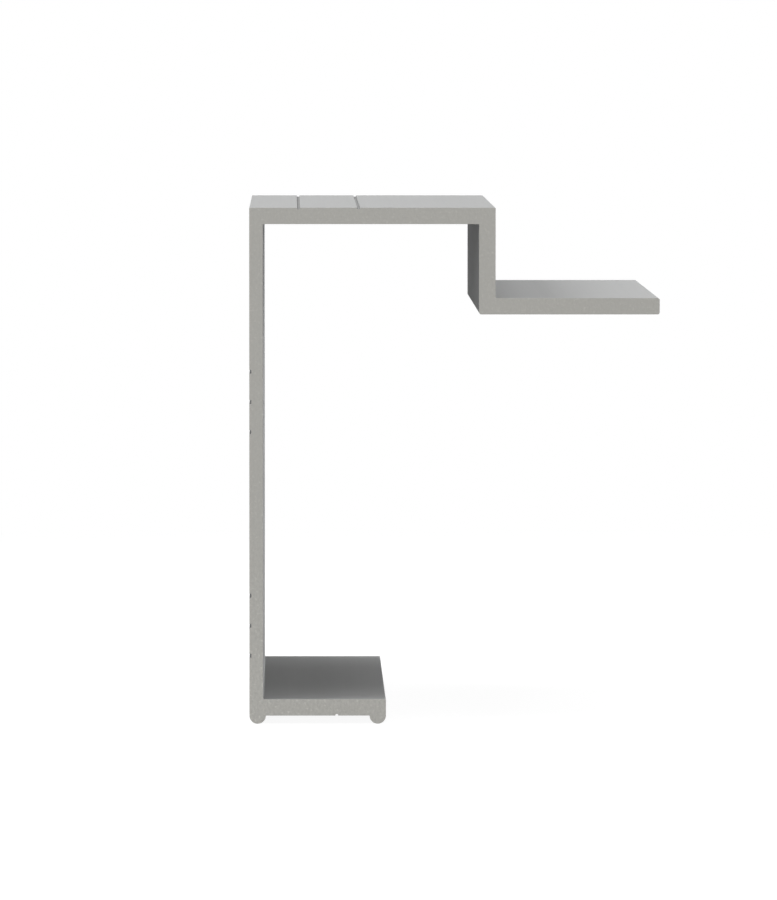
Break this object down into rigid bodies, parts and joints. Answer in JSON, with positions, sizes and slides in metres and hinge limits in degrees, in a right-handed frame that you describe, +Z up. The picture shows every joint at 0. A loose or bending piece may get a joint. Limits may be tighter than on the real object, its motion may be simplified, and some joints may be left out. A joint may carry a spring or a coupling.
{
  "type": "aluminium extrusion profile",
  "caption": "Cut length of a thin-walled aluminium channel extrusion with a stepped ledge beside its head, half-round bead feet and fine drill guide grooves.",
  "frame": {"origin": "middle of the footprint, on the floor that the bead feet touch", "axes": "+Y along the extrusion, away from the cut end that the picture shows; +Z up from the bead feet to the head; +X from the web to the ledge"},
  "size_m": [0.075, 0.1, 0.0945],
  "materials": {
    "aluminium": "mill finish, satin, with fine die lines along the length and saw-cut ends"
  },
  "bodies": {
    "root": {"extrusion_profile": "aluminium"}
  },
  "joints": []
}
